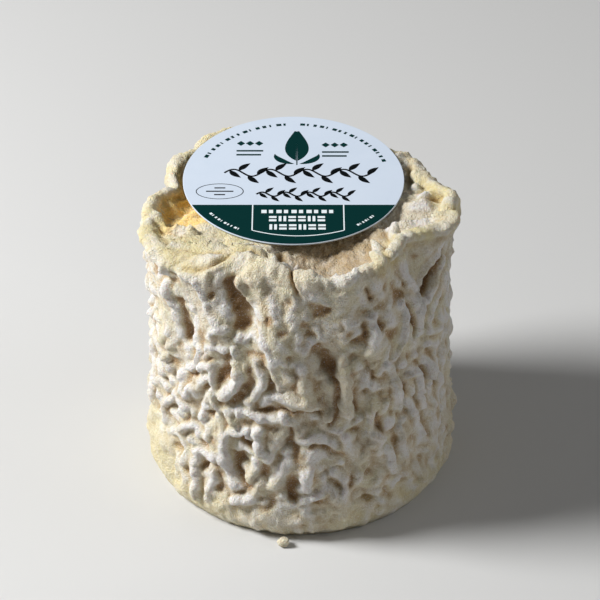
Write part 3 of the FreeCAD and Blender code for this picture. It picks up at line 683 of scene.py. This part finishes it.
def keep_under_label(points):
    """Presses down what would stand up through the label."""
    x, y = points[..., 0], points[..., 1]
    away = np.hypot(x - LABEL_CENTRE.x, y - LABEL_CENTRE.y)
    outside = away - LABEL_RADIUS
    pressed = 1 - ease(*PRESSED, outside)
    ceiling = label_height(y) - LABEL_ROOM + EDGE_SLOPE * np.maximum(outside - EDGE_ROOM, 0)
    over = np.maximum(points[..., 2] - ceiling, 0)
    points[..., 2] -= over * pressed
    return points


def add_object(name, data):
    """A new object of the scene, with that mesh, lamp or camera."""
    made = bpy.data.objects.new(name, data)
    bpy.context.scene.collection.objects.link(made)
    return made


def mesh_object(name, points, faces, smooth=True):
    mesh = bpy.data.meshes.new(name)
    mesh.from_pydata((np.asarray(points) * MM).tolist(), [], faces)
    mesh.polygons.foreach_set("use_smooth", [smooth] * len(mesh.polygons))
    mesh.update()
    return add_object(name, mesh)


def ring_faces(rows, around):
    """Quads of a grid that is closed round its columns."""
    faces = []
    for row in range(rows - 1):
        for column in range(around):
            after = (column + 1) % around
            a, b = row * around, (row + 1) * around
            faces.append((a + column, a + after, b + after, b + column))
    return faces


def closed_faces(rows, around):
    """The same grid, closed by fans to two points that follow it: the first row's middle and the last's."""
    faces = ring_faces(rows, around)
    last = (rows - 1) * around
    for column in range(around):
        after = (column + 1) % around
        faces.append((after, column, rows * around))
        faces.append((last + column, last + after, rows * around + 1))
    return faces


def paint(piece, name, values):
    """A number for every vertex, which a material reads by name."""
    attribute = piece.data.attributes.new(name, "FLOAT", "POINT")
    attribute.data.foreach_set("value", np.asarray(values, np.float32).ravel())


def make_rind():
    maps = relief()
    base, azimuths, climbs = cheese_grid()
    skin = keep_under_label(rind_points(base, azimuths, climbs, maps.pop("height")))
    edge = skin[0]
    middle = edge.mean(0)
    under = [middle + (edge - middle) * share for share in FLOOR_SHRINK]
    rings = np.vstack([np.array(under[::-1]), skin])
    seat = skin[-1].mean(0)
    points = np.vstack([rings.reshape(-1, 3), [middle], [seat]])
    rind = mesh_object("rind", points, closed_faces(len(rings), AROUND))
    looks = {name: sample(field, azimuths, climbs) for name, field in maps.items()}
    looks |= {"climb": climbs, "azimuth": azimuths}
    underside = np.zeros(len(under) * AROUND)
    for name, seen in looks.items():
        seat_value = CREST + 20 if name == "climb" else 0
        paint(rind, name, np.concatenate([underside, seen.ravel(), [0, seat_value]]))
    return rind


def dressed(piece, material):
    """The piece with its material in a slot of its mesh, on the one body."""
    piece.data.materials.append(material)
    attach(piece, "root")
    return piece


def make_crumb():
    """A crumb of rind that has come to lie in front of the cheese."""
    rng = np.random.default_rng(SEED + 1)
    around, rows = 20, 9
    push = 1 + 0.16 * rng.standard_normal((rows, around))
    push = (push + np.roll(push, 1, 1) + np.roll(push, -1, 1)) / 3
    points = []
    for row in range(rows):
        lift = math.pi * (row + 0.5) / rows
        for column in range(around):
            turn = 2 * math.pi * column / around
            reach = CRUMB_SIZE / 2 * push[row, column]
            out = reach * math.sin(lift)
            x = CRUMB_PLACE[0] + 1.2 * out * math.cos(turn)
            y = CRUMB_PLACE[1] + out * math.sin(turn)
            points.append((x, y, max(0.0, CRUMB_SIZE * 0.42 - reach * math.cos(lift))))
    faces = ring_faces(rows, around)
    faces.append(tuple(range(around))[::-1])
    faces.append(tuple(range((rows - 1) * around, rows * around)))
    crumb = mesh_object("crumb", points, faces)
    looks = {"cavity": 0.4, "pit": 0, "foot": 0.8, "bloom": 0.6, "green": 0.6, "yellow": 0, "climb": 5.0,
             "azimuth": -96.0}
    for name, value in looks.items():
        paint(crumb, name, np.full(len(points), value))
    return crumb


# ---- materials ----
def tint(*screen):
    """A colour written as on a screen, 0 to 255, for a shader."""
    shares = [value / 255 for value in screen]
    return [v / 12.92 if v <= 0.04045 else ((v + 0.055) / 1.055) ** 2.4 for v in shares] + [1.0]


class Shader:
    """Short ways to add nodes to one material."""

    def __init__(self, name):
        self.material = bpy.data.materials.new(name)
        self.material.use_nodes = True
        self.tree = self.material.node_tree
        self.surface = self.tree.nodes["Principled BSDF"]

    def node(self, kind, inputs=None, **settings):
        made = self.tree.nodes.new(kind)
        for key, value in settings.items():
            setattr(made, key, value)
        for key, value in (inputs or {}).items():
            self.join(value, made.inputs[key])
        return made

    def join(self, value, socket):
        if isinstance(value, bpy.types.NodeSocket):
            self.tree.links.new(value, socket)
        else:
            socket.default_value = value

    def painted(self, name):
        return self.node("ShaderNodeAttribute", attribute_name=name).outputs["Fac"]

    def maths(self, operation, a, b=0.0, c=0.0):
        return self.node("ShaderNodeMath", {0: a, 1: b, 2: c}, operation=operation).outputs[0]

    def times(self, a, b):
        return self.maths("MULTIPLY", a, b)

    def ease(self, low, high, value, start=0.0, end=1.0):
        """From start, at low, to end, at high."""
        span = {"Value": value, "From Min": low, "From Max": high, "To Min": start, "To Max": end}
        return self.node("ShaderNodeMapRange", span, interpolation_type="SMOOTHSTEP").outputs[0]

    def mix(self, share, a, b):
        return self.node("ShaderNodeMix", {0: share, 6: a, 7: b}, data_type="RGBA").outputs[2]

    def noise(self, size, detail=3.0, roughness=0.6):
        """Noise whose lumps are about that many millimetres."""
        place = self.node("ShaderNodeTexCoord").outputs["Object"]
        return self.node("ShaderNodeTexNoise", {"Vector": place, "Scale": 1 / (size * MM), "Detail": detail,
                                                "Roughness": roughness}).outputs["Fac"]

    def bump(self, strength, distance, height):
        bump = {"Strength": strength, "Distance": distance * MM, "Height": height}
        return self.node("ShaderNodeBump", bump).outputs[0]

    def set(self, **values):
        for name, value in values.items():
            self.join(value, self.surface.inputs[name.replace("_", " ")])


def rind_material():
    s = Shader("rind")
    cream, white = tint(224, 215, 192), tint(238, 236, 235)
    # the third colour here is a brown skin, darkened as painted shade behind the rim
    tan, brown, brown_skin_and_shade = tint(200, 176, 138), tint(164, 126, 80), tint(172, 142, 96)
    # the wax colour is lighter than the skin itself, as a painted glow in the left hollows
    yellow, wax_and_painted_glow, olive = tint(230, 215, 156), tint(255, 216, 130), tint(220, 212, 176)
    names = ("cavity", "pit", "green", "climb", "bloom", "foot", "azimuth")
    cavity, pit, green, climb, bloom, foot, turn = map(s.painted, names)
    speck, mottle, patches = s.noise(0.45, 4.0, 0.7), s.noise(2.6), s.noise(3.4)

    # deeper ground is browner
    deep = s.maths("ADD", cavity, s.maths("MULTIPLY_ADD", mottle, 0.7, -0.37))
    colour = s.mix(s.ease(0.38, 0.85, deep), cream, tan)
    colour = s.mix(s.times(s.ease(0.6, 0.98, deep), 0.8), colour, brown)
    colour = s.mix(s.times(s.ease(0.4, 1.0, pit), 0.7), colour, brown)
    # patches of olive on the slopes, and white mould on what stands out
    slope = s.times(s.ease(0.5, 0.85, green), s.ease(0.8, 0.5, cavity))
    colour = s.mix(s.times(slope, 0.6), colour, olive)
    high = s.maths("ADD", s.times(bloom, 0.6), s.times(speck, 0.5))
    dusted = s.times(s.ease(0.36, 0.66, high), s.ease(0.62, 0.3, cavity))
    colour = s.mix(s.times(dusted, 0.85), colour, white)
    colour = s.mix(s.times(foot, 0.55), colour, yellow)
    # a brown skin behind the rim, darkened most in the sunk front as painted shade of the label
    inside = s.ease(CREST + 2.5, CREST + 6, climb)
    shaded_front = s.times(s.ease(-112, -100, turn), s.ease(-22, -36, turn))
    skin_and_painted_shade = s.times(s.maths("MULTIPLY_ADD", shaded_front, 0.5, 0.05), s.ease(0.2, 0.7, deep, 0.7, 1.6))
    colour = s.mix(s.times(inside, skin_and_painted_shade), colour, brown_skin_and_shade)
    # a waxy orange skin in the hollows inside the left rim, lightened beyond its own colour as a painted glow
    left = s.maths("ADD", s.ease(-156, -164, turn), s.ease(150, 157, turn))
    wall = s.times(s.ease(CREST + 0.8, CREST + 2.4, climb), s.ease(0.3, 0.55, mottle, 0.5, 0.95))
    colour = s.mix(s.times(left, wall), colour, wax_and_painted_glow)
    rim_share = s.times(s.painted("yellow"), s.ease(0.34, 0.6, patches, 0.3, 0.85))
    colour = s.mix(rim_share, colour, yellow)
    # white and tan flecks all over, fainter on the rim and behind it
    fibre = s.noise(0.32, 3.0, 0.75)
    flecks = s.ease(CREST - 4, CREST + 2, climb, 1.0, 0.6)
    colour = s.mix(s.times(flecks, s.ease(0.52, 0.68, fibre, 0.0, 0.6)), colour, white)
    colour = s.mix(s.times(flecks, s.ease(0.48, 0.34, fibre, 0.0, 0.42)), colour, tan)

    fuzz = s.maths("ADD", s.noise(0.3), s.noise(0.8))
    s.set(Base_Color=colour, Roughness=s.ease(0.2, 0.9, speck, 0.66, 0.88), Normal=s.bump(0.9, 0.6, fuzz))
    s.set(Subsurface_Weight=0.2, Subsurface_Radius=(1.0, 0.7, 0.45), Subsurface_Scale=1.0 * MM)
    s.set(Sheen_Weight=0.12, Sheen_Roughness=0.5, Specular_IOR_Level=0.3)
    return s.material


def paper_material(name, colour, dark):
    """Coated paper or ink: a little grain, and a soft gloss that varies."""
    s = Shader(name)
    grain, cloud = s.noise(0.35), s.noise(6, 2.0)
    s.set(Base_Color=s.mix(s.ease(0.3, 0.75, cloud, 0.0, 0.5), colour, dark), Specular_IOR_Level=0.12)
    s.set(Roughness=s.ease(0.3, 0.7, grain, 0.42, 0.55), Normal=s.bump(0.15, 0.02, grain))
    return s.material


# ---- the label ----
def on_label(across, up, level):
    """A point of the label, from its middle: across, up the slope, and off its mid-plane."""
    slope = Vector((0, math.cos(LABEL_LEAN), math.sin(LABEL_LEAN)))
    normal = Vector((0, -math.sin(LABEL_LEAN), math.cos(LABEL_LEAN)))
    return Vector(LABEL_CENTRE) + Vector((across, 0, 0)) + up * slope + level * normal


def make_label():
    """A thin disc with a small bevel, in rings so that it also holds its flatness when smoothed."""
    around, rings, bevel = 192, 12, 0.06
    half = LABEL_THICKNESS / 2
    flat = [((k + 1) / rings * (LABEL_RADIUS - 2 * bevel), -half) for k in range(rings)]
    flat.append((LABEL_RADIUS - bevel, -half))
    layers = flat + [(LABEL_RADIUS, bevel - half), (LABEL_RADIUS, half - bevel)]
    layers += [(radius, -level) for radius, level in reversed(flat)]
    points = []
    for radius, level in layers:
        for k in range(around):
            points.append(on_label(*polar(radius, 2 * math.pi * k / around), level))
    points += [on_label(0, 0, -half), on_label(0, 0, half)]
    return mesh_object("paper_label", points, closed_faces(len(layers), around))


class Ink:
    """Flat printed shapes of one colour, a hair above the label."""

    def __init__(self, lift):
        self.level = LABEL_THICKNESS / 2 + lift
        self.points, self.faces = [], []

    def area(self, outline):
        first = len(self.points)
        self.points += [on_label(x, y, self.level) for x, y in outline]
        self.faces.append(tuple(range(first, len(self.points))))

    def bar(self, left, right, low, high):
        self.area([(left, low), (right, low), (right, high), (left, high)])

    def line(self, route, width, closed=False, taper=False):
        """A strip along a route, which may run out to points at its ends."""
        count = len(route)
        sides = []
        for k, (x, y) in enumerate(route):
            a = route[(k - 1) % count] if closed else route[max(k - 1, 0)]
            b = route[(k + 1) % count] if closed else route[min(k + 1, count - 1)]
            length = math.hypot(b[0] - a[0], b[1] - a[1])
            swell = math.sin(math.pi * (k + 0.15) / (count - 0.7)) if taper else 1.0
            dx = -(b[1] - a[1]) / length * width * swell / 2
            dy = (b[0] - a[0]) / length * width * swell / 2
            sides.append(((x + dx, y + dy), (x - dx, y - dy)))
        for k in range(count if closed else count - 1):
            (a, b), (c, d) = sides[k], sides[(k + 1) % count]
            self.area([a, b, d, c])

    def arc(self, radius, start, end, width, centre=(0, 0), squash=1.0):
        count = max(8, int(abs(end - start) / 3))
        turns = [math.radians(start + (end - start) * k / count) for k in range(count + 1)]
        route = [(centre[0] + radius * math.cos(a), centre[1] + squash * radius * math.sin(a)) for a in turns]
        whole = abs(end - start) >= 360
        self.line(route[:-1] if whole else route, width, whole)

    def dashes(self, radius, start, end, count, width, fill):
        """Short strokes along an arc round the label's middle, of uneven length."""
        pitch = (end - start) / count
        for k in range(count):
            length = pitch * fill * (0.65 + 0.35 * math.cos(2.4 * k))
            self.arc(radius, start + pitch * k, start + pitch * k + length, width)

    def vine(self, left, right, level, height, pitch, leaf):
        """A winding stem with small leaves, above and below by turns."""
        def stem(x):
            return level + height / 2 * math.sin(2 * math.pi * (x - left) / pitch)
        count = int((right - left) / 0.3)
        places = [left + (right - left) * k / count for k in range(count + 1)]
        self.line([(x, stem(x)) for x in places], 0.42)
        for k in range(int((right - left) / pitch * 4)):
            x = left + pitch * (k + 0.6) / 4
            side = 1 if k % 2 else -1
            shares = [j / 10 for j in range(11)]
            route = [(x + leaf * t * (0.35 + 0.5 * t), stem(x) + side * leaf * t) for t in shares]
            self.line(route, 0.5 * leaf, taper=True)

    def diamond(self, x, y, half):
        self.area([(x - half, y), (x, y - half), (x + half, y), (x, y + half)])

    def make(self, name):
        return mesh_object(name, self.points, self.faces, smooth=False)


def leaf_side(sign, foot, length, width):
    """One side of an upright leaf, from its foot to its tip."""
    shape = []
    for k in range(17):
        t = k / 16
        bulge = width * math.sin(math.pi * t**0.8) * (1 - 0.25 * t)
        shape.append((foot[0] + sign * bulge, foot[1] + length * t))
    return shape


def green_leaf(ink, middle, low, length):
    """An upright leaf with a bare midrib, and two small ones at its foot."""
    for sign in (-1, 1):
        foot = (middle + sign * 0.16, low)
        tip = (middle + sign * 0.08, low + length - 0.6)
        ink.area([foot] + leaf_side(sign, foot, length, 2.3)[1:-1] + [tip])
        small = []
        for k in range(13):
            across = 0.5 + 3.6 * math.sin(math.pi * k / 24)
            small.append((middle + sign * across, low - 1.0 + 3.2 * (k / 12) ** 1.4))
        ink.line(small, 1.3, taper=True)
    ink.line([(middle, low - 1.4), (middle, low + length - 0.8)], 0.22)


def green_print():
    ink = Ink(INK_LIFT)
    band = math.asin(BAND_TOP / PRINT_RADIUS)
    turns = [math.pi - band + (math.pi + 2 * band) * k / 64 for k in range(65)]
    ink.area([polar(PRINT_RADIUS, turn) for turn in turns])
    green_leaf(ink, middle=0.6, low=5.6, length=10.4)
    for start, end, count in ((158, 92, 15), (86, 16, 17)):
        ink.dashes(17.7, start, end, count, 0.75, 0.72)
    # two bars and three diamonds on each side of the leaf
    thick, apart = 0.5, 1.3
    for k, width in enumerate((5.0, 4.6)):
        for left, low in ((-10.7, 8.6), (5.3, 8.2)):
            ink.bar(left, left + width, low - apart * k, low + thick - apart * k)
    for k in range(3):
        for left, level in ((-9.9, 11.3), (6.0, 10.8)):
            ink.diamond(left + 1.7 * k, level, 0.8)
    return ink.make("print_green")


def black_print():
    ink = Ink(INK_LIFT)
    ink.vine(-12.8, 14.4, level=1.7, height=2.2, pitch=6.8, leaf=2.4)
    ink.vine(-6.8, 10.4, level=-5.1, height=1.3, pitch=4.3, leaf=1.7)
    # an oval with three bars in it
    middle, level = -13.5, -4.2
    ink.arc(4.3, 0, 360, 0.16, (middle, level), 0.55)
    for k, half in enumerate((1.0, 2.5, 1.0)):
        low = level + 0.9 - 1.05 * k
        ink.bar(middle - half, middle + half, low, low + 0.35)
    return ink.make("print_black")


def white_print():
    ink = Ink(WHITE_LIFT)
    left, right, low, frame = -7.4, 9.1, -16.2, 0.22
    for x in (left, right):
        ink.bar(x - frame / 2, x + frame / 2, low, BAND_TOP)
    middle, half = (left + right) / 2, (right - left) / 2
    bow = [(middle + half * x, low - 1.7 * (1 - x * x)) for x in (k / 12 - 1 for k in range(25))]
    ink.line(bow, frame)
    # a row of blocks, and under it two rows of small double bars, upright or lying
    for k in range(10):
        x = -5.8 + 1.36 * k
        ink.bar(x, x + (0.95, 0.75)[k % 2], -11.0, -10.0)
    wide, tall, bar = 1.35, 1.6, 0.5
    for row, start in enumerate((-4.4, -4.3)):
        for k in range(6):
            x, y = start + 1.75 * k, -13.5 - 2.5 * row
            if (k + row) % 3 == 1:
                ink.bar(x, x + bar, y, y + tall)
                ink.bar(x + wide - bar, x + wide, y, y + tall)
            else:
                ink.bar(x, x + wide, y, y + 0.6)
                ink.bar(x, x + wide, y + 1.0, y + tall)
    for start, end, count in ((216, 240, 10), (308, 322, 7)):
        ink.dashes(18.6, start, end, count, 0.5, 0.7)
    return ink.make("print_white")


# ---- floor, light and camera ----
def make_floor():
    far = FLOOR_HALF
    corners = [(-far, -far, 0), (far, -far, 0), (far, far, 0), (-far, far, 0)]
    floor = mesh_object("floor", corners, [(0, 1, 2, 3)], smooth=False)
    s = Shader("floor")
    s.set(Base_Color=tint(206, 206, 205), Roughness=0.8, Specular_IOR_Level=0.2)
    floor.data.materials.append(s.material)


def aim_at(thing, place, target):
    thing.location = Vector(place) * MM
    direction = (Vector(target) - Vector(place)).normalized()
    thing.rotation_euler = direction.to_track_quat("-Z", "Y").to_euler()


def make_light(name, place, size, power):
    light = bpy.data.lights.new(name, "AREA")
    light.shape = "DISK"
    light.size = size * MM
    light.energy = power
    aim_at(add_object(name, light), place, (0, 0, CREST / 2))


def make_world():
    world = bpy.data.worlds.new("studio")
    world.use_nodes = True
    sky = world.node_tree.nodes["Background"].inputs
    sky["Color"].default_value = (1, 1, 1, 1)
    sky["Strength"].default_value = WORLD_STRENGTH
    bpy.context.scene.world = world


def make_camera():
    """A long lens, well above the cheese and in front of it."""
    away, up = polar(CAMERA_DISTANCE, math.radians(CAMERA_ELEVATION))
    camera = bpy.data.cameras.new("camera")
    camera.sensor_width = SENSOR
    camera.lens = LENS
    eye = add_object("camera", camera)
    aim_at(eye, (CAMERA_TARGET[0], -away, CAMERA_TARGET[2] + up), CAMERA_TARGET)
    camera.clip_start, camera.clip_end = CLIP_METRES
    bpy.context.scene.camera = eye


# ---- the whole ----
rind_look = rind_material()
rind = dressed(make_rind(), rind_look)
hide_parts("cheese")

white_paper, grey_paper = tint(200, 211, 225), tint(194, 206, 221)
label = dressed(make_label(), paper_material("label_paper", white_paper, grey_paper))
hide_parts("label")
for print_piece, colour in (
    (green_print(), tint(0, 44, 43)),
    (black_print(), tint(8, 12, 14)),
    (white_print(), tint(224, 232, 236)),
):
    dressed(print_piece, paper_material(print_piece.name, colour, colour))

dressed(make_crumb(), rind_look)
make_floor()
for lamp in LIGHTS:
    make_light(*lamp)
make_world()
make_camera()
bpy.context.scene.view_settings.view_transform = "Standard"
